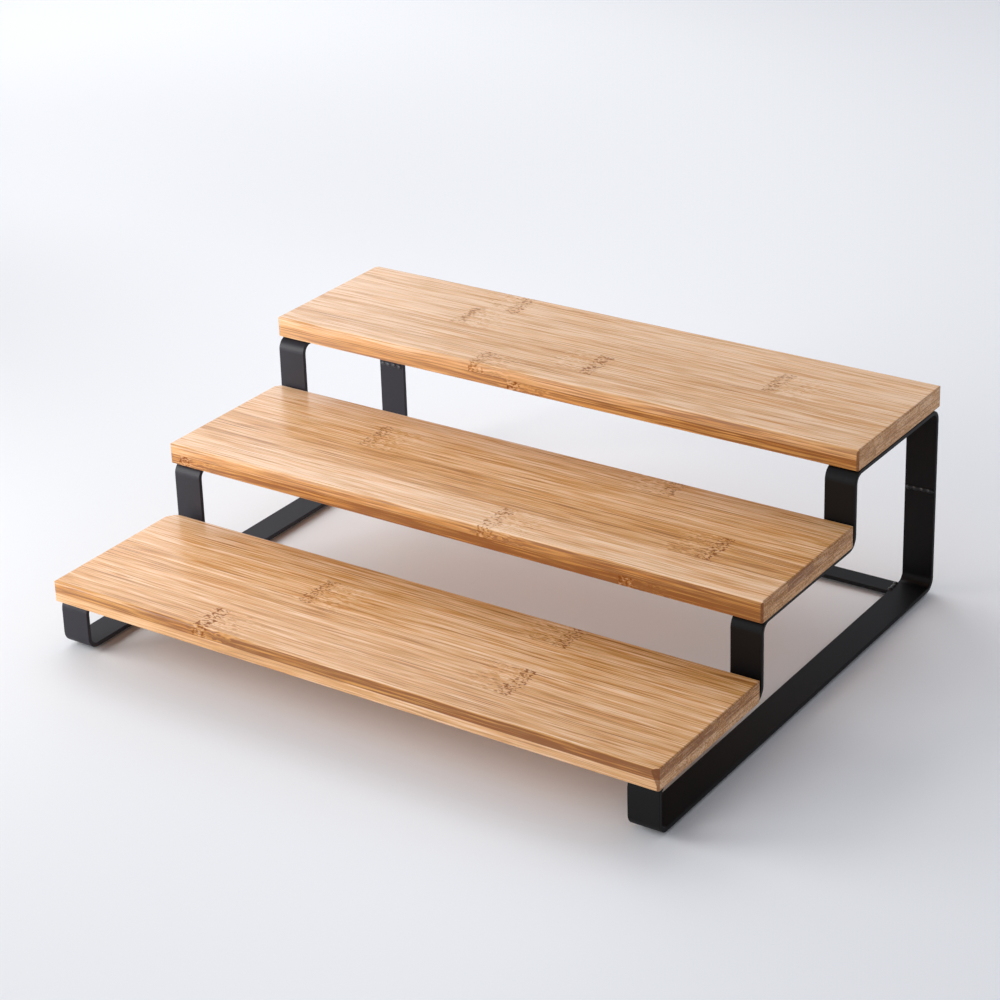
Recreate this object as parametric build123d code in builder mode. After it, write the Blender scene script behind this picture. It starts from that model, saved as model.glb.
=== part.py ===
"""Tiered display stand: three laminated bamboo planks on two bent flat-bar side frames.

Each side frame is one strip of flat bar bent into a closed stair-shaped loop and butt welded
on its rear leg. A narrower crossbar is welded between the two floor runners. Every plank is
two plies of glued bamboo strips, held by wood screws driven up through the frame's treads.

Millimetres. +X along the planks, +Y towards the back, +Z up. The origin is on the floor,
under the middle of the stand's box.
"""
import os

from build123d import *

os.makedirs("parts", exist_ok=True)

# Planks
plank_length = 401.0
plank_depth = 105.5
ply_thickness = 6.3
whole_strips = 2
front_round = 2.0
rear_round = 2.0
end_round = 1.2
edge_ease = 0.6
front_corner_chamfer = 1.2
sanded_corner_width = 5.0
sanded_corner_depth = 1.8

# Stairs
step_rise = 43.0
plank_spacing = 4.0
riser_gap = 0.7
bend_clearance = 0.2
front_overhang = 5.2
front_tread_height = 30.0

# Flat bar
bar_width = 19.0
bar_thickness = 2.5
bend_radius = 5.0
bar_edge_radius = 0.4
frame_inset = 1.2
crossbar_width = 13.0
crossbar_clear_of_bend = 0.3

# Welds
weld_width = 3.2
weld_height = 0.7
leg_weld_above_runner = 63.0

# Screws
screw_diameter = 3.5
screw_core_fit = 0.05
screw_tread_clearance = 0.4
screw_cover = 3.5
screw_point = 2.0
screw_head_diameter = 7.0
screw_head_height = 2.2
screw_recess_length = 3.6
screw_recess_width = 0.9
screw_recess_depth = 1.3
screw_from_front_edge = 34.0
screw_from_rear_edge = 14.0

# Feet
foot_diameter = 10.0
foot_height = 2.0
foot_rim_round = 0.6
foot_from_bend = 1.0

# Each ply is cut from a wider board, so the strips at its front and rear edges have widths of their own
# and the whole strips between them share the rest. The planks' rear corners are sanded by hand, so each has
# a radius of its own, and the planks are not quite in line: the front one sits to the right of the others.
tiers = {
    "front": {
        "upper_first": 23.5,
        "upper_last": 24.0,
        "lower_first": 28.5,
        "lower_last": 19.0,
        "rear_left_corner": 12.0,
        "rear_right_corner": 3.0,
        "sideways": 1.5,
    },
    "middle": {
        "upper_first": 27.5,
        "upper_last": 20.0,
        "lower_first": 22.0,
        "lower_last": 25.5,
        "rear_left_corner": 9.0,
        "rear_right_corner": 3.5,
        "sideways": -0.5,
    },
    "top": {
        "upper_first": 18.0,
        "upper_last": 29.5,
        "lower_first": 21.0,
        "lower_last": 26.5,
        "rear_left_corner": 7.0,
        "rear_right_corner": 3.0,
        "sideways": -1.5,
    },
}

# Derived places
levels = range(len(tiers))
plank_thickness = 2 * ply_thickness
plank_pitch = plank_depth + plank_spacing
tread_run = plank_depth + (plank_spacing + riser_gap - front_overhang) / 2
stand_depth = 2 * plank_pitch + plank_depth
front_edge_y = -stand_depth / 2
rear_leg_y = front_edge_y + front_overhang + len(levels) * tread_run
outer_bend = bend_radius + bar_thickness
rear_lower_round = max(bend_radius - riser_gap, 0) + bend_clearance
runner_z = foot_height
runner_top_z = runner_z + bar_thickness
bar_outer_x = plank_length / 2 - frame_inset
bar_inner_x = bar_outer_x - bar_width
bar_middle_x = bar_outer_x - bar_width / 2
screw_bite = plank_thickness - screw_cover


def plank_front_y(level):
    """Front edge of the plank on a level."""
    return front_edge_y + level * plank_pitch


def tread_z(level):
    """Top face of the tread that carries a level's plank."""
    return runner_z + front_tread_height + level * step_rise


def riser_y(level):
    """Front face of the riser below a level's tread."""
    return front_edge_y + front_overhang + level * tread_run


def screw_places(level):
    """Centres of a level's four screws, on the underside of its treads."""
    front_y = plank_front_y(level) + screw_from_front_edge
    rear_y = plank_front_y(level) + plank_depth - screw_from_rear_edge
    z = tread_z(level) - bar_thickness
    return [(x, y, z) for x in (-bar_middle_x, bar_middle_x) for y in (front_y, rear_y)]


def write(builder, name):
    """Label a finished piece and write its file."""
    builder.part.label = name
    export_step(builder.part, f"parts/{name}.step")


# Planks

# Corners of a plank's section about its centre, with +X to the back and +Y up
half_depth = plank_depth / 2
section_rounds = {
    (-half_depth, ply_thickness): front_round,
    (-half_depth, -ply_thickness): edge_ease,
    (half_depth, ply_thickness): rear_round,
    (half_depth, -ply_thickness): rear_lower_round,
}


def plank_blank(level, rear_left_corner, rear_right_corner, sideways):
    """A whole plank with its rounded edges and corners, and pilot holes in its underside."""
    front_y = plank_front_y(level)
    rear_y = front_y + plank_depth
    bottom_z = tread_z(level)
    top_z = bottom_z + plank_thickness
    middle_y = (front_y + rear_y) / 2
    middle_z = (bottom_z + top_z) / 2
    centre = (sideways, middle_y, middle_z)
    right_x = sideways + plank_length / 2
    with BuildPart() as plank:
        with BuildSketch(Plane((sideways, middle_y, bottom_z))) as outline:
            Rectangle(plank_length, plank_depth)
            chamfer(outline.vertices().group_by(Axis.Y)[0], length=front_corner_chamfer)
            rear_corners = {-1: rear_left_corner, 1: rear_right_corner}
            for side, radius in rear_corners.items():
                corner = (side * plank_length / 2, plank_depth / 2)
                fillet(outline.vertices().sort_by_distance(corner)[0], radius=radius)
        extrude(amount=plank_thickness)
        with BuildSketch(Plane(centre, x_dir=(0, 1, 0), z_dir=(1, 0, 0))) as section:
            Rectangle(plank_depth, plank_thickness)
            for corner, radius in section_rounds.items():
                fillet(section.vertices().sort_by_distance(corner)[0], radius=radius)
        extrude(amount=plank_length, both=True, mode=Mode.INTERSECT)
        with BuildSketch(Plane(centre, x_dir=(1, 0, 0), z_dir=(0, -1, 0))) as elevation:
            Rectangle(plank_length, plank_thickness)
            fillet(elevation.vertices().group_by(Axis.Y)[-1], radius=end_round)
            chamfer(elevation.vertices().group_by(Axis.Y)[0], length=edge_ease / 2)
        extrude(amount=plank_depth, both=True, mode=Mode.INTERSECT)
        for x, y, z in screw_places(level):
            with Locations(Plane((x, y, bottom_z), z_dir=(0, 0, -1))):
                Hole(radius=screw_diameter / 2 + screw_core_fit, depth=screw_bite)
        if level == levels[0]:
            front_right = (right_x, front_y, bottom_z)
            along_front = (right_x - sanded_corner_width, front_y, top_z)
            along_end = (right_x, front_y + sanded_corner_depth, top_z)
            facet = Plane(Face(Wire.make_polygon([front_right, along_front, along_end])))
            inwards = (Vector(centre) - Vector(front_right)).dot(facet.z_dir) > 0
            split(bisect_by=facet, keep=Keep.TOP if inwards else Keep.BOTTOM)
    return plank.part


def strip_edges(first, last):
    """Distances of a ply's glue lines from the plank's front edge, with both outer edges."""
    whole = (plank_depth - first - last) / whole_strips
    seams = [first + number * whole for number in range(whole_strips + 1)]
    return [0.0] + seams + [plank_depth]


for level, (tier_name, tier) in zip(levels, tiers.items()):
    blank = plank_blank(level, tier["rear_left_corner"], tier["rear_right_corner"], tier["sideways"])
    plank_z = tread_z(level)
    plies = {"lower": plank_z, "upper": plank_z + ply_thickness}
    for ply, ply_z in plies.items():
        edges = strip_edges(tier[f"{ply}_first"], tier[f"{ply}_last"])
        for number, (near, far) in enumerate(zip(edges, edges[1:]), start=1):
            strip_y = plank_front_y(level) + (near + far) / 2
            with BuildPart() as strip:
                add(blank)
                with BuildSketch(Plane((tier["sideways"], strip_y, ply_z))):
                    Rectangle(plank_length, far - near)
                extrude(amount=ply_thickness, mode=Mode.INTERSECT)
            write(strip, f"{tier_name}_plank_{ply}_strip_{number}")

# Side frames

half_bar = bar_thickness / 2
stair_line = [(riser_y(0) + half_bar, runner_z + half_bar)]
for level in levels:
    tread_middle_z = tread_z(level) - half_bar
    tread_end_y = rear_leg_y - half_bar if level == levels[-1] else riser_y(level + 1) + half_bar
    stair_line.append((riser_y(level) + half_bar, tread_middle_z))
    stair_line.append((tread_end_y, tread_middle_z))
stair_line.append((rear_leg_y - half_bar, runner_z + half_bar))

tread_screws = [place for level in levels for place in screw_places(level)]

for side, loop_x in {"left": -bar_outer_x, "right": bar_inner_x}.items():
    with BuildPart() as side_frame:
        with BuildSketch(Plane.YZ.offset(loop_x)):
            with BuildLine():
                FilletPolyline(*stair_line, radius=bend_radius + half_bar, close=True)
            make_face()
            offset(amount=half_bar)
            offset(amount=-bar_thickness, mode=Mode.SUBTRACT)
        extrude(amount=bar_width)
        fillet(side_frame.faces().filter_by(Axis.X).edges(), radius=bar_edge_radius)
        side_screws = [place for place in tread_screws if loop_x < place[0] < loop_x + bar_width]
        for x, y, z in side_screws:
            with Locations(Plane((x, y, z), z_dir=(0, 0, -1))):
                Hole(radius=screw_diameter / 2 + screw_tread_clearance, depth=bar_thickness)
    write(side_frame, f"{side}_side_frame")

# Crossbar between the runners

crossbar_y = rear_leg_y - outer_bend - crossbar_clear_of_bend - crossbar_width / 2

with BuildPart() as rear_crossbar:
    with BuildSketch(Plane((0, crossbar_y, runner_z))):
        Rectangle(2 * bar_inner_x, crossbar_width)
    extrude(amount=bar_thickness)
    fillet(rear_crossbar.edges().filter_by(Axis.X), radius=bar_edge_radius)
write(rear_crossbar, "rear_crossbar")

# Weld beads, low arched ridges laid along each joint


def bead_section():
    """Outline of a bead on its seat: a flat chord under a low arch."""
    Line((-weld_width / 2, 0), (weld_width / 2, 0))
    ThreePointArc((weld_width / 2, 0), (0, weld_height), (-weld_width / 2, 0))


bead_length = crossbar_width - 2 * bar_edge_radius
leg_face_y = rear_leg_y - bar_thickness
leg_weld_z = runner_z + leg_weld_above_runner
leg_bead_length = bar_width - 2 * bar_edge_radius

for side, sign in {"left": -1, "right": 1}.items():
    bead_start = (sign * bar_inner_x, crossbar_y - bead_length / 2, runner_top_z)
    with BuildPart() as crossbar_weld:
        with BuildSketch(Plane(bead_start, x_dir=(1, 0, 0), z_dir=(0, -1, 0))):
            with BuildLine():
                bead_section()
            make_face()
        extrude(amount=-bead_length)
    write(crossbar_weld, f"{side}_crossbar_weld")

    leg_bead_start = (sign * bar_middle_x - leg_bead_length / 2, leg_face_y, leg_weld_z)
    with BuildPart() as leg_weld:
        with BuildSketch(Plane(leg_bead_start, x_dir=(0, 0, 1), z_dir=(1, 0, 0))):
            with BuildLine():
                bead_section()
            make_face()
        extrude(amount=leg_bead_length)
    write(leg_weld, f"{side}_rear_leg_weld")

# Wood screws, drawn with the seat of the head at the origin and the point upwards

screw_length = bar_thickness + screw_bite - screw_core_fit

with BuildPart() as wood_screw:
    with BuildSketch(Plane.XZ):
        with BuildLine():
            dome = TangentArc((0, -screw_head_height), (screw_head_diameter / 2, 0), tangent=(1, 0))
            Polyline(
                dome @ 1,
                (screw_diameter / 2, 0),
                (screw_diameter / 2, screw_length - screw_point),
                (0, screw_length),
                dome @ 0,
            )
        make_face()
    revolve(axis=Axis.Z)
    with BuildSketch(Plane.XY.offset(-screw_head_height)):
        Rectangle(screw_recess_length, screw_recess_width)
        Rectangle(screw_recess_width, screw_recess_length)
    extrude(amount=screw_recess_depth, mode=Mode.SUBTRACT)

for level, tier_name in zip(levels, tiers):
    with BuildPart() as plank_screws:
        with Locations(*screw_places(level)):
            add(wood_screw.part)
    write(plank_screws, f"{tier_name}_plank_screws")

# Rubber feet under the ends of the runners

foot_from_riser = outer_bend + foot_from_bend + foot_diameter / 2
foot_places = {
    "front_left": (-bar_middle_x, riser_y(0) + foot_from_riser),
    "front_right": (bar_middle_x, riser_y(0) + foot_from_riser),
    "rear_left": (-bar_middle_x, rear_leg_y - foot_from_riser),
    "rear_right": (bar_middle_x, rear_leg_y - foot_from_riser),
}

for corner, (x, y) in foot_places.items():
    with BuildPart() as foot:
        with BuildSketch(Plane((x, y, 0))):
            Circle(foot_diameter / 2)
        extrude(amount=foot_height)
        fillet(foot.edges().group_by(Axis.Z)[0], radius=foot_rim_round)
    write(foot, f"{corner}_foot")
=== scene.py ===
"""Looks of a stair-step stand: laminated bamboo planks on black flat-bar side frames.

The file is laid out as an add-on and run as a script. Each operator finishes one group of like
pieces: the bamboo strips, the bent steel, the welds, the screws and the feet. The last one sets
the stage. Sizes in the properties are in metres, and positions along a plank are in millimetres.
"""
import math
import random

import bmesh
import bpy
from mathutils import Matrix, Vector


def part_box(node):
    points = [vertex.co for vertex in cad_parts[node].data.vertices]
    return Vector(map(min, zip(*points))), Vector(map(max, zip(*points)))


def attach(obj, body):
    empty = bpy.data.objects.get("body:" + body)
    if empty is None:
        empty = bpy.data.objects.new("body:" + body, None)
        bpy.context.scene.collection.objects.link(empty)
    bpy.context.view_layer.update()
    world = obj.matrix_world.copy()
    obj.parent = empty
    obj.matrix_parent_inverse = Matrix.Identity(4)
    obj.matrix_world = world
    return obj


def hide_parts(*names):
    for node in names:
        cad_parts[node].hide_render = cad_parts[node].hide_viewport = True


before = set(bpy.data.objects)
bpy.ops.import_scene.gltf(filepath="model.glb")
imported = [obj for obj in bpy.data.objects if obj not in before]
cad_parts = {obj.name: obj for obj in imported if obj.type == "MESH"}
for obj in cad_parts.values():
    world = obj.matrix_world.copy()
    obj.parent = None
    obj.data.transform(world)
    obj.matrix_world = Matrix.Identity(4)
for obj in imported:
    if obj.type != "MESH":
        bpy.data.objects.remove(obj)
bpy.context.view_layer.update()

bl_info = {
    "name": "Tiered bamboo stand",
    "version": (1, 0, 0),
    "blender": (4, 5, 0),
    "location": "3D View > Sidebar > Stand",
    "description": "Finishes and small details of a stair-step stand of bamboo planks on bent flat bar",
    "category": "Object",
}

BODY = "root"
MM = 0.001
HALF_LENGTH = 200.0
TIERS = ("front", "middle", "top")
PLIES = ("upper", "lower")

# Sizes of the bamboo's marks in millimetres: along the plank, across it and through it
WANDER = (120.0, 16.0, 16.0)
RIPPLE = (6.5, 4.0, 4.0)
BANDS = (330.0, 6.0, 6.0)
STREAKS = (95.0, 1.2, 1.2)
FIBRES = (32.0, 0.75, 0.75)
LINES = (70.0, 0.8, 0.8)
FLECKS = (4.5, 1.6, 1.6)
BLUSH = (45.0, 2.4, 2.4)
RAGGED_EDGE = (14.0, 2.5, 3.0)
PITS = (2.2, 1.15, 1.15)
END_LAYERS = (1.0, 22.0, 1.1)
END_BUNDLES = (1.0, 0.9, 0.9)

# Sizes of the marks on steel, zinc and rubber in millimetres
ORANGE_PEEL = (0.7, 0.7, 0.7)
DUST_CLOUDS = (30.0, 30.0, 30.0)
ZINC_CLOUDS = (1.2, 1.2, 1.2)
RUBBER_SPECKS = (0.6, 0.6, 0.6)

# How far apart in the noise the strips' patterns lie, and the blush's from the fibres', in millimetres
STRIP_APART = 40.0
BLUSH_APART = 21.6

# How far the fibres wander, and how far they ripple beside a knuckle, in millimetres
WANDER_DEPTH = 2.6
RIPPLE_DEPTH = 3.0

# How much each mark of the grain lightens or darkens the wood
BAND_DEPTH = 0.2
STREAK_DEPTH = 0.42
FIBRE_DEPTH = 0.5
FLECK_DEPTH = 0.16
LINE_DEPTH = 0.42
GRAIN_LIFT = 0.07
# How much the painted highlight along the rounded front edges lightens the wood
EDGE_HIGHLIGHT_LIFT = 0.24

# Tones at which the wood is brown, honey and pale
BROWN_TONE = -0.1
HONEY_TONE = 0.5
PALE_TONE = 1.2

# Knuckles, in millimetres along the strip: how far from its middle each mark ends and is full, where
# the middles of the ruffled fibres and of the pitted rim lie, and how ragged the marks are
KNUCKLE_BAND = (4.8, 3.4)
RUFFLED_FIBRES = (24.0, 4.0)
PITTED_RIM = (0.9, 0.3)
RUFFLED_MIDDLE = 9.0
RIM_MIDDLE = -4.0
RAGGED_DEPTH = 2.6

# How far a normal leans to an end or to the front where the end and the front edge begin and are full
END_LEAN = (0.6, 0.9)
FRONT_LEAN = (0.45, 0.8)
# Where the painted highlight on the rounded front edges begins and is full, and where it fades again
EDGE_HIGHLIGHT_LEAN = (0.1, 0.35)
EDGE_HIGHLIGHT_LIMIT = (0.8, 0.5)

# Glue lines: how far from its middle a line ends and is full in millimetres, and its strength
# between the plies and between the strips
GLUE_WIDTH = (0.4, 0.1)
PLY_GLUE = 0.5
STRIP_GLUE = 0.25

# Each strip of bamboo, front edge first: the tones of its flat sides at the left and at the right,
# and of its ends, from dark (0) to pale (1), and where its knuckles lie along the plank
STRIPS = {
    "front_upper": (
        (0.53, 0.59, 0.03, (-91,)),
        (0.62, 0.62, -0.09, (93,)),
        (0.74, 0.76, 0.11, (-59,)),
        (0.82, 0.57, 0.16, (91,)),
    ),
    "front_lower": (
        (0.42, 0.42, 0.70, ()),
        (0.42, 0.42, 0.68, (70,)),
        (0.42, 0.42, 0.68, (-120,)),
        (0.39, 0.39, 0.65, (20,)),
    ),
    "middle_upper": (
        (0.78, 0.91, 0.23, (26,)),
        (0.57, 0.39, -0.09, (148,)),
        (0.73, 0.73, 0.23, (-99,)),
        (0.92, 0.77, 0.23, (89,)),
    ),
    "middle_lower": (
        (0.24, 0.24, 0.50, (-189, 117)),
        (0.36, 0.36, 0.57, (-40,)),
        (0.36, 0.36, 0.46, (150,)),
        (0.36, 0.36, 0.50, (10,)),
    ),
    "top_upper": (
        (0.85, 0.85, 0.35, (-53,)),
        (0.76, 0.81, 0.51, (10,)),
        (0.94, 0.94, 0.65, (-99, 117)),
        (0.96, 0.93, 0.77, (-81,)),
    ),
    "top_lower": (
        (0.30, 0.30, 0.56, (-27,)),
        (0.36, 0.36, 0.60, (120,)),
        (0.30, 0.30, 0.58, (-150,)),
        (0.33, 0.33, 0.64, (60,)),
    ),
}

# Tones of the planks' front edges, at the left and at the right: their own tones, with painted light
# that falls off from the left to the right
FRONT_EDGES_AND_PAINTED_LIGHT = {
    "front_upper": (0.20, -0.22),
    "front_lower": (0.60, 0.53),
    "middle_upper": (0.30, 0.10),
    "middle_lower": (0.16, -0.14),
    "top_upper": (0.46, 0.27),
    "top_lower": (0.38, -0.06),
}

# Soft lamps: place, width and height in metres, and power in watts
LAMPS = {
    "key": ((-0.70, -0.49, 0.28), (0.5, 0.5), 6.2),
    "window": ((-1.21, 0.70, 0.98), (1.3, 1.3), 8.8),
    "rear": ((-0.29, 0.79, 1.59), (0.8, 0.8), 3.0),
}

# Patches of painted shade on the floor by two of the lamps, which dim the pools of light there: the
# middle, and where the patch starts to show and is full, as distances from the middle in millimetres
KEY_SHADE_PATCH = ((-700.0, -490.0), 950.0, 500.0)
WINDOW_SHADE_PATCH = ((-800.0, 470.0), 750.0, 150.0)
WINDOW_SHADE_SHARE = 0.5
FLOOR_HALF_WIDTH = 8.0
FLOOR_ROUGHNESS = 0.8
HORIZON_GLOW = 0.95
SENSOR_WIDTH = 36.0

# Shape of the weld beads: sides of a bead, rings in a lump, how far a lump leans, and how wide and
# high the bead is between its lumps and how thick at its ends, as shares of the whole
BEAD_SIDES = 16
LUMP_RINGS = 8
LUMP_LEAN = 0.4
WAIST = 0.62
VALLEY = 0.05
BEAD_END = 0.3


class BambooLook(bpy.types.PropertyGroup):
    """Colours and lacquer of the bamboo."""

    pale: bpy.props.FloatVectorProperty(
        name="Pale", description="Lightest fibres", subtype="COLOR", default=(0.98, 0.67, 0.435)
    )
    honey: bpy.props.FloatVectorProperty(
        name="Honey", description="Main colour", subtype="COLOR", default=(0.67, 0.315, 0.080)
    )
    brown: bpy.props.FloatVectorProperty(
        name="Brown", description="Darkest fibres", subtype="COLOR", default=(0.30, 0.11, 0.03)
    )
    knuckle: bpy.props.FloatVectorProperty(
        name="Knuckle", description="Pits, dashes and glue lines", subtype="COLOR",
        default=(0.25, 0.072, 0.013),
    )
    cut_end: bpy.props.FloatVectorProperty(
        name="Cut end", description="Greyed wood of the sawn ends", subtype="COLOR",
        default=(0.36, 0.25, 0.19),
    )
    blush: bpy.props.FloatVectorProperty(
        name="Blush", description="Tint of the redder blotches and lines", subtype="COLOR",
        default=(1.0, 0.92, 0.81),
    )
    lacquer_roughness: bpy.props.FloatProperty(
        name="Lacquer roughness", description="Roughness of the satin lacquer", default=0.25,
        min=0.0, max=1.0,
    )
    lacquer_gloss: bpy.props.FloatProperty(
        name="Lacquer gloss", description="Strength of the lacquer's reflection", default=0.65,
        min=0.0, max=1.0,
    )
    wood_gloss: bpy.props.FloatProperty(
        name="Wood gloss", description="Strength of the bare wood's reflection", default=0.05,
        min=0.0, max=1.0,
    )


class SteelLook(bpy.types.PropertyGroup):
    """Powder coat of the frames."""

    coat: bpy.props.FloatVectorProperty(
        name="Coat", description="Colour of the powder coat", subtype="COLOR",
        default=(0.0052, 0.0047, 0.0049),
    )
    # The lightest coat: dust, and the painted light towards the left
    dust_and_light: bpy.props.FloatVectorProperty(
        name="Dust", description="Colour of the coat where it is lightest", subtype="COLOR",
        default=(0.033, 0.031, 0.037),
    )
    roughness: bpy.props.FloatProperty(
        name="Roughness", description="Roughness of the powder coat", default=0.4, min=0.0, max=1.0
    )
    gloss: bpy.props.FloatProperty(
        name="Gloss", description="Strength of the coat's reflection", default=0.4, min=0.0, max=1.0
    )
    weld_gloss: bpy.props.FloatProperty(
        name="Weld gloss", description="Strength of the reflection where the coat pools on the welds",
        default=1.0, min=0.0, max=1.0,
    )


class WeldLook(bpy.types.PropertyGroup):
    """Shape of the weld beads."""

    lump_length: bpy.props.FloatProperty(
        name="Lump length", description="Length of one lump of a bead", default=0.0042, unit="LENGTH"
    )
    lump_height: bpy.props.FloatProperty(
        name="Lump height", description="Height of the highest lumps over the bar", default=0.0014,
        unit="LENGTH",
    )
    unevenness: bpy.props.FloatProperty(
        name="Unevenness", description="How much lower the lowest lumps are", default=0.55,
        min=0.0, max=1.0,
    )


class StageLook(bpy.types.PropertyGroup):
    """Floor, light and camera."""

    floor: bpy.props.FloatVectorProperty(
        name="Floor", description="Colour of the floor", subtype="COLOR", default=(0.975, 0.975, 0.977)
    )
    # Painted shade on the floor by the lamps
    floor_painted_shade: bpy.props.FloatVectorProperty(
        name="Floor by the lamps", description="Colour of the floor where the lamps are near",
        subtype="COLOR", default=(0.715, 0.715, 0.72),
    )
    sky: bpy.props.FloatVectorProperty(
        name="Sky", description="Colour of the surroundings", subtype="COLOR",
        default=(0.925, 0.96, 1.05),
    )
    ambient: bpy.props.FloatProperty(
        name="Ambient", description="Light that comes from all round", default=0.50, min=0.0, max=2.0
    )
    slant: bpy.props.FloatProperty(
        name="Slant", description="How much brighter the surroundings are on the left than overhead",
        default=0.5, min=0.0, max=1.0,
    )
    camera_place: bpy.props.FloatVectorProperty(
        name="Camera", description="Place of the camera", subtype="XYZ", unit="LENGTH",
        default=(0.79436, -1.15254, 0.74121),
    )
    camera_azimuth: bpy.props.FloatProperty(
        name="Azimuth", description="Camera's turn from the front to the right", subtype="ANGLE",
        default=math.radians(34.444),
    )
    camera_elevation: bpy.props.FloatProperty(
        name="Elevation", description="Camera's downward tilt", subtype="ANGLE",
        default=math.radians(22.224),
    )
    camera_roll: bpy.props.FloatProperty(
        name="Roll", description="Camera's turn about its own line of sight", subtype="ANGLE",
        default=math.radians(-1.797),
    )
    lens: bpy.props.FloatProperty(
        name="Lens", description="Focal length on a 36 mm wide sensor", default=97.153, min=1.0,
        unit="CAMERA",
    )
    camera_shift: bpy.props.FloatProperty(
        name="Shift", description="How far the frame lies below the line of sight, in frame widths",
        default=-0.1495,
    )


class Value:
    """A shader socket that can stand in a Python expression."""

    def __init__(self, nodes, socket):
        self.nodes = nodes
        self.socket = socket

    def __add__(self, other):
        return self.nodes.math("ADD", self, other)

    __radd__ = __add__

    def __mul__(self, other):
        return self.nodes.math("MULTIPLY", self, other)

    __rmul__ = __mul__

    def __sub__(self, other):
        return self.nodes.math("SUBTRACT", self, other)

    def __rsub__(self, other):
        return self.nodes.math("SUBTRACT", other, self)

    def __truediv__(self, other):
        return self.nodes.math("DIVIDE", self, other)

    def __abs__(self):
        return self.nodes.math("ABSOLUTE", self)


class Nodes:
    """The shader nodes of a material or of the world."""

    def __init__(self, owner):
        owner.use_nodes = True
        self.tree = owner.node_tree

    def add(self, kind, settings, sockets, *outputs):
        """Add a node: its settings first, then the values or links of its sockets."""
        node = self.tree.nodes.new(kind)
        for name, setting in settings.items():
            setattr(node, name, setting)
        for name, value in sockets.items():
            self.feed(node, name, value)
        values = [Value(self, node.outputs[name]) for name in outputs or (0,)]
        return values[0] if len(values) == 1 else values

    def feed(self, node, name, value):
        """Link a socket, or set it."""
        if isinstance(value, Value):
            self.tree.links.new(value.socket, node.inputs[name])
        else:
            node.inputs[name].default_value = value

    def math(self, operation, first, second=0.0):
        """One step of arithmetic."""
        return self.add("ShaderNodeMath", {"operation": operation}, {0: first, 1: second})

    def largest(self, first, *others):
        """The largest of some values."""
        for other in others:
            first = self.math("MAXIMUM", first, other)
        return first

    def smooth(self, value, low, high, kind="SMOOTHSTEP"):
        """Rise from 0 at low to 1 at high. With low above high it falls."""
        settings = {"interpolation_type": kind}
        if low < high:
            return self.add("ShaderNodeMapRange", settings, {0: value, 1: low, 2: high})
        return 1 - self.add("ShaderNodeMapRange", settings, {0: value, 1: high, 2: low})

    def point(self, x, y, z):
        """A vector of three values."""
        return self.add("ShaderNodeCombineXYZ", {}, {0: x, 1: y, 2: z})

    def patch(self, x, y, middle, outer, inner):
        """A round patch of the floor: 1 within the inner radius, falling to 0 at the outer one."""
        sockets = {0: self.point(x, y, 0.0), 1: (*middle, 0.0)}
        distance = self.add("ShaderNodeVectorMath", {"operation": "DISTANCE"}, sockets, "Value")
        return self.smooth(distance, outer, inner)

    def scaled(self, place, size):
        """A place measured in marks of a size."""
        return self.point(*(value / length for value, length in zip(place, size)))

    def noise(self, place, size, detail=2.0):
        """Soft noise from 0 to 1 with marks of about a size."""
        sockets = {
            "Vector": self.scaled(place, size), "Scale": 1.0, "Detail": detail, "Roughness": 0.55,
        }
        return self.add("ShaderNodeTexNoise", {}, sockets)

    def mottle(self, place, size, detail=2.0):
        """Noise with its contrast raised, about 0."""
        return self.smooth(self.noise(place, size, detail), 0.34, 0.66) - 0.5

    def bump(self, height, strength, distance):
        """The normal of a shallow relief, whose depth is a distance in metres."""
        sockets = {"Strength": strength, "Distance": distance, "Height": height}
        return self.add("ShaderNodeBump", {}, sockets, "Normal")

    def mix(self, factor, first, second, blend="MIX"):
        """One colour laid over another."""
        settings = {"data_type": "RGBA", "blend_type": blend}
        return self.add("ShaderNodeMix", settings, {0: factor, 6: first, 7: second}, 2)

    def coordinates(self):
        """Object coordinates in millimetres, and the surface's normal."""
        place, facing = self.add("ShaderNodeTexCoord", {}, {}, "Object", "Normal")
        place = self.add("ShaderNodeVectorMath", {"operation": "SCALE"}, {0: place, "Scale": 1 / MM})
        return [
            value
            for vector in (place, facing)
            for value in self.add("ShaderNodeSeparateXYZ", {}, {0: vector}, "X", "Y", "Z")
        ]


def new_material(name):
    """A material with its nodes and its shader."""
    material = bpy.data.materials.new(name)
    nodes = Nodes(material)
    return material, nodes, nodes.tree.nodes["Principled BSDF"]


def solid(colour):
    """A colour with full alpha."""
    return (*colour, 1.0)


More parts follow.
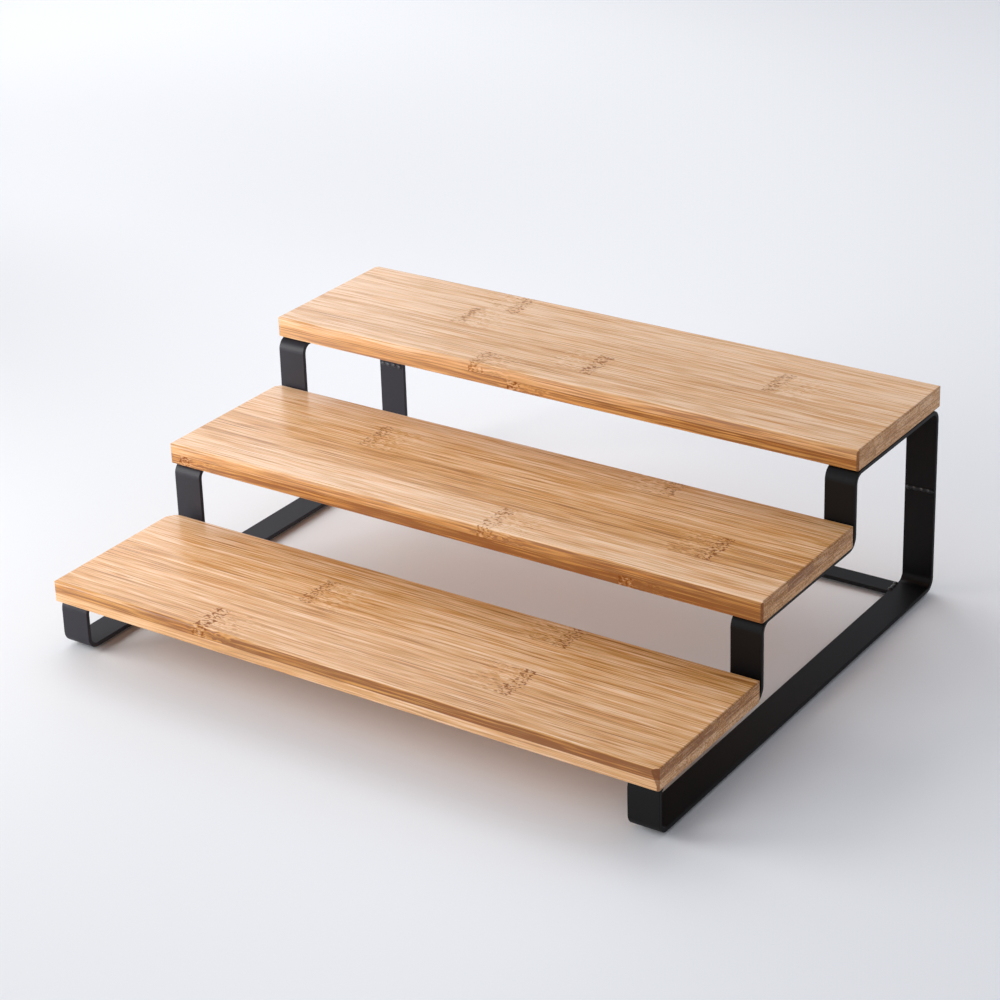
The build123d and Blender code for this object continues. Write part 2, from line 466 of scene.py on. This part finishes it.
def bamboo_material(name, look, seed, strip, front_edge_and_light, seams):
    """Straight-grained bamboo with knuckle marks and glue lines under satin lacquer, and painted light
    and shade on its edges.
    """
    material, nodes, shader = new_material(name)
    x, y, z, across_x, across_y, _ = nodes.coordinates()
    layer = z + STRIP_APART * seed
    place = (x, y, layer)
    lean = 1 if seed % 2 else -1
    left_tone, right_tone, end_tone, knuckles = strip
    rightwards = nodes.smooth(x, -HALF_LENGTH, HALF_LENGTH, "LINEAR")
    forwards = 0.0 - across_y
    end = nodes.smooth(abs(across_x), *END_LEAN)
    front = nodes.smooth(forwards, *FRONT_LEAN)
    # A painted highlight along the rounded front edges
    edge_highlight = nodes.smooth(forwards, *EDGE_HIGHLIGHT_LEAN) * nodes.smooth(forwards, *EDGE_HIGHLIGHT_LIMIT)
    flat_tone = left_tone + (right_tone - left_tone) * rightwards
    # The front edge's tone carries painted light, lighter at the left
    front_tone_and_light = front_edge_and_light[0] + (front_edge_and_light[1] - front_edge_and_light[0]) * rightwards
    tone = flat_tone + (front_tone_and_light - flat_tone) * front + (end_tone - flat_tone) * end
    tone = tone + EDGE_HIGHLIGHT_LIFT * edge_highlight

    # A knuckle is a ragged band across the strip, with more ruffled fibres on one side of it
    ragged = nodes.mottle(place, RAGGED_EDGE)
    band = 0.0
    ruffled = 0.0
    rim = 0.0
    for knuckle in knuckles:
        along = lean * (x - knuckle) + RAGGED_DEPTH * ragged
        band = nodes.largest(nodes.smooth(abs(along), *KNUCKLE_BAND), band)
        ruffled = nodes.largest(nodes.smooth(abs(along - RUFFLED_MIDDLE), *RUFFLED_FIBRES), ruffled)
        rim = nodes.largest(nodes.smooth(abs(along - RIM_MIDDLE), *PITTED_RIM), rim)

    # Fibres run along the plank and wander a little
    wander = nodes.noise(place, WANDER, 1.0) - 0.5
    ripple = nodes.noise(place, RIPPLE, 1.0) - 0.5
    drift = WANDER_DEPTH * wander + RIPPLE_DEPTH * ruffled * ripple
    drifted_y = y + drift
    drifted_z = layer + drift
    drifted = (x, drifted_y, drifted_z)
    bands = nodes.mottle(drifted, BANDS)
    streaks = nodes.mottle(drifted, STREAKS, 3.0)
    fibres = nodes.mottle(drifted, FIBRES)
    flecks = ruffled * nodes.mottle(place, FLECKS)
    lines = nodes.smooth(nodes.noise(drifted, LINES), 0.56, 0.64)
    grain = BAND_DEPTH * bands + STREAK_DEPTH * streaks + FIBRE_DEPTH * fibres
    grain = grain + FLECK_DEPTH * flecks - LINE_DEPTH * lines

    # The left ends stand in full light, where the grain of the sawn wood shows less
    calm = 1 - 0.6 * end * (1 - rightwards)
    shade = tone + GRAIN_LIFT + calm * grain
    honeyed = nodes.smooth(shade, BROWN_TONE, HONEY_TONE, "LINEAR")
    paled = nodes.smooth(shade, HONEY_TONE, PALE_TONE, "LINEAR")
    colour = nodes.mix(honeyed, solid(look.brown), solid(look.honey))
    colour = nodes.mix(paled, colour, solid(look.pale))

    # Redder blotches and lines, and a painted sheen of pale colour on the lighter front edges
    blush = nodes.mottle((x, drifted_y, drifted_z + BLUSH_APART), BLUSH)
    reddened = nodes.largest(nodes.smooth(blush, 0.0, 0.5), lines)
    colour = nodes.mix(reddened, colour, solid(look.blush), "MULTIPLY")
    painted_sheen = 0.2 * front * nodes.smooth(front_tone_and_light, 0.05, 0.4)
    colour = nodes.mix(painted_sheen, colour, solid(look.pale))

    # Short dark dashes and pits in the knuckle's band, with pale specks between them
    pits = nodes.noise(place, PITS, 1.0)
    band_pits = band * nodes.smooth(pits, 0.53, 0.59)
    rim_pits = rim * nodes.smooth(pits, 0.44, 0.52)
    pitted = nodes.largest(band_pits, rim_pits)
    colour = nodes.mix(0.2 * band, colour, solid(look.honey))
    colour = nodes.mix(0.3 * band * nodes.smooth(pits, 0.44, 0.38), colour, solid(look.pale))
    colour = nodes.mix((1.3 - 0.7 * flat_tone) * pitted, colour, solid(look.knuckle))

    # Cut ends show layers and fibre bundles as dots, and are greyer
    section = (0.0, y, layer)
    sockets = {"Vector": nodes.scaled(section, END_BUNDLES), "Scale": 1.0}
    bundles = nodes.add("ShaderNodeTexVoronoi", {"feature": "F1"}, sockets)
    dots = end * nodes.smooth(bundles, 0.42, 0.18)
    layers = nodes.mottle(section, END_LAYERS)
    colour = nodes.mix(0.2 * end, colour, solid(look.cut_end))
    colour = nodes.mix(end * nodes.smooth(layers, 0.0, 0.5) * 0.34, colour, solid(look.knuckle))
    colour = nodes.mix(end * nodes.smooth(layers, 0.0, -0.5) * 0.26, colour, solid(look.pale))
    colour = nodes.mix(0.1 * dots, colour, solid(look.knuckle))

    # Glue lines, painted shade on the rounded rims between the tops and the ends, and the ends' rounded
    # front corners darker
    glue = 0.0
    for axis, seam, strength in seams:
        apart = abs((y if axis == "y" else z) - seam)
        glue = nodes.largest(strength * nodes.smooth(apart, *GLUE_WIDTH), glue)
    corner = nodes.smooth(abs(across_x) * nodes.largest(forwards, 0.0), 0.12, 0.28)
    rim_shade = nodes.smooth(abs(across_x), 0.2, 0.45) * nodes.smooth(abs(across_x), 0.95, 0.7)
    colour = nodes.mix(nodes.largest(glue, 0.7 * corner, 0.4 * rim_shade), colour, solid(look.knuckle))

    nodes.feed(shader, "Base Color", colour)
    nodes.feed(shader, "Roughness", 0.5 + 0.1 * fibres + 0.2 * end)
    nodes.feed(shader, "Specular IOR Level", look.wood_gloss)
    nodes.feed(shader, "Coat Weight", look.lacquer_gloss * (1 - 0.9 * pitted - 0.4 * end))
    nodes.feed(shader, "Coat Roughness", look.lacquer_roughness)
    relief = calm * (0.3 * fibres - 0.2 * lines - 0.3 * pitted - 0.5 * dots)
    nodes.feed(shader, "Normal", nodes.bump(relief, 0.35, 0.00006))
    return material


def steel_material(name, look, gloss):
    """Satin black powder coat, lighter towards the left as painted light, with painted shade on the
    upward faces there.
    """
    material, nodes, shader = new_material(name)
    x, y, z, _, _, upward = nodes.coordinates()
    peel = nodes.noise((x, y, z), ORANGE_PEEL)
    cloud = nodes.noise((x, y, z), DUST_CLOUDS, 3.0)

    # Clouds of dust, with painted light making the coat lighter towards the left,
    # and painted shade darkening the upward faces there
    unshaded = 1 - 0.34 * nodes.smooth(upward, 0.3, 0.9) * nodes.smooth(x, 50.0, -150.0)
    dust_and_left_light = unshaded * nodes.smooth(0.5 * cloud - x / (2 * HALF_LENGTH), -0.1, 0.8)
    colour = nodes.mix(dust_and_left_light, solid(look.coat), solid(look.dust_and_light))
    nodes.feed(shader, "Base Color", colour)
    nodes.feed(shader, "Roughness", look.roughness + 0.12 * (cloud - 0.5) + 0.1 * (peel - 0.5))

    # All the gloss is in the clear coat, which reflects less at a flat angle
    nodes.feed(shader, "Specular IOR Level", 0.0)
    # Painted shade also dims the coat's reflection on the upward faces at the left
    nodes.feed(shader, "Coat Weight", gloss * unshaded)
    nodes.feed(shader, "Coat Roughness", look.roughness)
    nodes.feed(shader, "Normal", nodes.bump(peel, 0.2, 0.00005))
    return material


def zinc_material():
    """Bright zinc plate of the screws."""
    material, nodes, shader = new_material("zinc_plate")
    x, y, z, *_ = nodes.coordinates()
    cloud = nodes.noise((x, y, z), ZINC_CLOUDS, 3.0)
    colour = nodes.mix(cloud, (0.5, 0.5, 0.47, 1.0), (0.72, 0.72, 0.7, 1.0))
    nodes.feed(shader, "Base Color", colour)
    nodes.feed(shader, "Metallic", 1.0)
    nodes.feed(shader, "Roughness", 0.25 + 0.25 * cloud)
    return material


def rubber_material():
    """Matte black rubber of the feet."""
    material, nodes, shader = new_material("black_rubber")
    x, y, z, *_ = nodes.coordinates()
    cloud = nodes.noise((x, y, z), RUBBER_SPECKS, 3.0)
    colour = nodes.mix(cloud, (0.012, 0.012, 0.012, 1.0), (0.035, 0.034, 0.033, 1.0))
    nodes.feed(shader, "Base Color", colour)
    nodes.feed(shader, "Roughness", 0.65 + 0.2 * cloud)
    nodes.feed(shader, "Normal", nodes.bump(cloud, 0.3, 0.0001))
    return material


def paint(piece, material):
    """Give the whole piece one material."""
    piece.data.materials.clear()
    piece.data.materials.append(material)


def weld_bead(node, outward, look, seed):
    """A lumpy bead along the longest side of a weld's box, with its lower half sunk in the bar."""
    low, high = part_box(node)
    size = high - low
    height, width, length = sorted(range(3), key=lambda axis: size[axis])
    lumps = round(size[length] / look.lump_length)
    draw = random.Random(seed)
    crowns = [1.0 - look.unevenness * draw.random() for _ in range(lumps)]
    leans = [LUMP_LEAN * draw.uniform(-1.0, 1.0) for _ in range(lumps)]

    shape = bmesh.new()
    bmesh.ops.create_cone(
        shape, cap_ends=True, segments=BEAD_SIDES, radius1=1.0, radius2=1.0, depth=1.0
    )
    lengthwise = [edge for edge in shape.edges if edge.verts[0].co.z * edge.verts[1].co.z < 0.0]
    bmesh.ops.subdivide_edges(shape, edges=lengthwise, cuts=LUMP_RINGS * lumps - 1)
    for vert in shape.verts:
        place = (vert.co.z + 0.5) * lumps
        lump = min(int(place), lumps - 1)
        swell = math.sin(math.pi * (place - lump))
        taper = min(1.0, BEAD_END + 2.0 * min(place, lumps - place))
        girth = WAIST + (1 - WAIST) * swell * crowns[lump]
        vert.co.x = taper * (vert.co.x * girth + leans[lump] * swell)
        vert.co.y *= taper * (VALLEY + (1 - VALLEY) * swell) * crowns[lump]

    # The bead's own axes: X across it, Y out of the bar, Z along it
    spread = Matrix.Diagonal((0.5 * size[width], look.lump_height, size[length]))
    turn = Matrix.Identity(3)
    turn = Matrix((turn[width], turn[height], turn[length])).transposed()
    centre = 0.5 * (low + high) - 0.5 * size[height] * outward
    placed = Matrix.Translation(centre) @ (turn @ spread).to_4x4()
    bmesh.ops.transform(shape, matrix=placed, verts=shape.verts)
    bmesh.ops.recalc_face_normals(shape, faces=shape.faces)
    for face in shape.faces:
        face.smooth = True
    mesh = bpy.data.meshes.new(f"{node}_bead")
    shape.to_mesh(mesh)
    shape.free()
    bead = bpy.data.objects.new(f"{node}_bead", mesh)
    bpy.context.scene.collection.objects.link(bead)
    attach(bead, BODY)
    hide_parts(node)
    return bead


class STAND_OT_bamboo_strips(bpy.types.Operator):
    """Finish every strip of the planks in lacquered bamboo"""

    bl_idname = "stand.bamboo_strips"
    bl_label = "Bamboo strips"

    def execute(self, context):
        look = context.scene.stand_bamboo
        seed = 0
        for tier in TIERS:
            for ply in PLIES:
                strips = STRIPS[f"{tier}_{ply}"]
                for number, strip in enumerate(strips, start=1):
                    seed += 1
                    node = f"{tier}_plank_{ply}_strip_{number}"
                    low, high = (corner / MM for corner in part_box(node))
                    seams = [("z", low.z if ply == "upper" else high.z, PLY_GLUE)]
                    if number > 1:
                        seams.append(("y", low.y, STRIP_GLUE))
                    if number < len(strips):
                        seams.append(("y", high.y, STRIP_GLUE))
                    front_edge_and_light = FRONT_EDGES_AND_PAINTED_LIGHT[f"{tier}_{ply}"]
                    material = bamboo_material(node, look, seed, strip, front_edge_and_light, seams)
                    paint(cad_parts[node], material)
        return {"FINISHED"}


class STAND_OT_bent_steel(bpy.types.Operator):
    """Powder coat the side frames and the crossbar"""

    bl_idname = "stand.bent_steel"
    bl_label = "Bent steel"

    def execute(self, context):
        look = context.scene.stand_steel
        coat = steel_material("black_powder_coat", look, look.gloss)
        for name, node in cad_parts.items():
            if name.endswith(("_side_frame", "_crossbar")):
                paint(node, coat)
        return {"FINISHED"}


class STAND_OT_weld_beads(bpy.types.Operator):
    """Model the lumpy welds of the rear legs and of the crossbar's ends, under the same coat"""

    bl_idname = "stand.weld_beads"
    bl_label = "Weld beads"

    def execute(self, context):
        look = context.scene.stand_steel
        coat = steel_material("weld_powder_coat", look, look.weld_gloss)
        forward = Vector((0, -1, 0))
        upward = Vector((0, 0, 1))
        outward = {
            "left_rear_leg_weld": forward,
            "right_rear_leg_weld": forward,
            "left_crossbar_weld": upward,
            "right_crossbar_weld": upward,
        }
        for seed, (node, side) in enumerate(outward.items()):
            paint(weld_bead(node, side, context.scene.stand_weld, seed), coat)
        return {"FINISHED"}


class STAND_OT_wood_screws(bpy.types.Operator):
    """Plate the wood screws with zinc"""

    bl_idname = "stand.wood_screws"
    bl_label = "Wood screws"

    def execute(self, context):
        zinc = zinc_material()
        for tier in TIERS:
            paint(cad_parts[f"{tier}_plank_screws"], zinc)
        return {"FINISHED"}


class STAND_OT_rubber_feet(bpy.types.Operator):
    """Finish the feet in matte rubber"""

    bl_idname = "stand.rubber_feet"
    bl_label = "Rubber feet"

    def execute(self, context):
        rubber = rubber_material()
        for name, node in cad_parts.items():
            if name.endswith("_foot"):
                paint(node, rubber)
        return {"FINISHED"}


class STAND_OT_stage(bpy.types.Operator):
    """Lay the floor, hang the lamps and place the camera"""

    bl_idname = "stand.stage"
    bl_label = "Stage"

    def execute(self, context):
        look = context.scene.stand_stage
        scene = context.scene
        scene.view_settings.view_transform = "Standard"

        mesh = bpy.data.meshes.new("floor")
        shape = bmesh.new()
        bmesh.ops.create_grid(shape, x_segments=1, y_segments=1, size=FLOOR_HALF_WIDTH)
        shape.to_mesh(mesh)
        shape.free()
        floor = bpy.data.objects.new("floor", mesh)
        scene.collection.objects.link(floor)
        material, nodes, shader = new_material("pale_floor")
        x, y, *_ = nodes.coordinates()
        # Painted shade: the floor is darker in patches by the key and window lamps, to dim their pools
        # of light
        near = nodes.patch(x, y, *KEY_SHADE_PATCH) + WINDOW_SHADE_SHARE * nodes.patch(x, y, *WINDOW_SHADE_PATCH)
        nodes.feed(shader, "Base Color", nodes.mix(near, solid(look.floor), solid(look.floor_painted_shade)))
        nodes.feed(shader, "Roughness", FLOOR_ROUGHNESS)
        paint(floor, material)

        world = bpy.data.worlds.new("studio")
        scene.world = world
        nodes = Nodes(world)
        direction = nodes.add("ShaderNodeTexCoord", {}, {}, "Generated")
        rightward, height = nodes.add("ShaderNodeSeparateXYZ", {}, {0: direction}, "X", "Z")
        horizon = nodes.smooth(abs(height), 0.2, 0.12)
        background = nodes.tree.nodes["Background"]
        nodes.feed(background, "Color", solid(look.sky))
        glow = look.ambient - look.ambient * look.slant * rightward
        nodes.feed(background, "Strength", glow + (HORIZON_GLOW - glow) * horizon)

        for name, (place, size, power) in LAMPS.items():
            light = bpy.data.lights.new(name, "AREA")
            light.shape = "RECTANGLE"
            light.size, light.size_y = size
            light.energy = power
            lamp = bpy.data.objects.new(name, light)
            lamp.location = place
            lamp.rotation_euler = (-lamp.location).to_track_quat("-Z", "Y").to_euler()
            scene.collection.objects.link(lamp)

        azimuth, elevation, roll = look.camera_azimuth, look.camera_elevation, look.camera_roll
        right = Vector((math.cos(azimuth), math.sin(azimuth), 0.0))
        back = Vector((
            math.sin(azimuth) * math.cos(elevation),
            -math.cos(azimuth) * math.cos(elevation),
            math.sin(elevation),
        ))
        up = back.cross(right)
        turn = Matrix((right, up, back)).transposed() @ Matrix.Rotation(roll, 3, "Z")
        camera = bpy.data.objects.new("camera", bpy.data.cameras.new("camera"))
        camera.data.sensor_width = SENSOR_WIDTH
        camera.data.lens = look.lens
        camera.data.shift_y = look.camera_shift
        camera.matrix_world = Matrix.Translation(look.camera_place) @ turn.to_4x4()
        scene.collection.objects.link(camera)
        scene.camera = camera
        return {"FINISHED"}


PIECES = (
    STAND_OT_bamboo_strips,
    STAND_OT_bent_steel,
    STAND_OT_weld_beads,
    STAND_OT_wood_screws,
    STAND_OT_rubber_feet,
    STAND_OT_stage,
)


class STAND_PT_panel(bpy.types.Panel):
    """Lists the stand's operators in the sidebar"""

    bl_idname = "STAND_PT_panel"
    bl_label = "Tiered stand"
    bl_space_type = "VIEW_3D"
    bl_region_type = "UI"
    bl_category = "Stand"

    def draw(self, context):
        for piece in PIECES:
            self.layout.operator(piece.bl_idname)


GROUPS = {
    "stand_bamboo": BambooLook,
    "stand_steel": SteelLook,
    "stand_weld": WeldLook,
    "stand_stage": StageLook,
}
CLASSES = (*GROUPS.values(), *PIECES, STAND_PT_panel)


def register():
    for cls in CLASSES:
        bpy.utils.register_class(cls)
    for name, group in GROUPS.items():
        setattr(bpy.types.Scene, name, bpy.props.PointerProperty(type=group))


def unregister():
    for name in GROUPS:
        delattr(bpy.types.Scene, name)
    for cls in reversed(CLASSES):
        bpy.utils.unregister_class(cls)


def main():
    register()
    for piece in PIECES:
        group, name = piece.bl_idname.split(".")
        getattr(getattr(bpy.ops, group), name)()


if __name__ == "__main__":
    main()
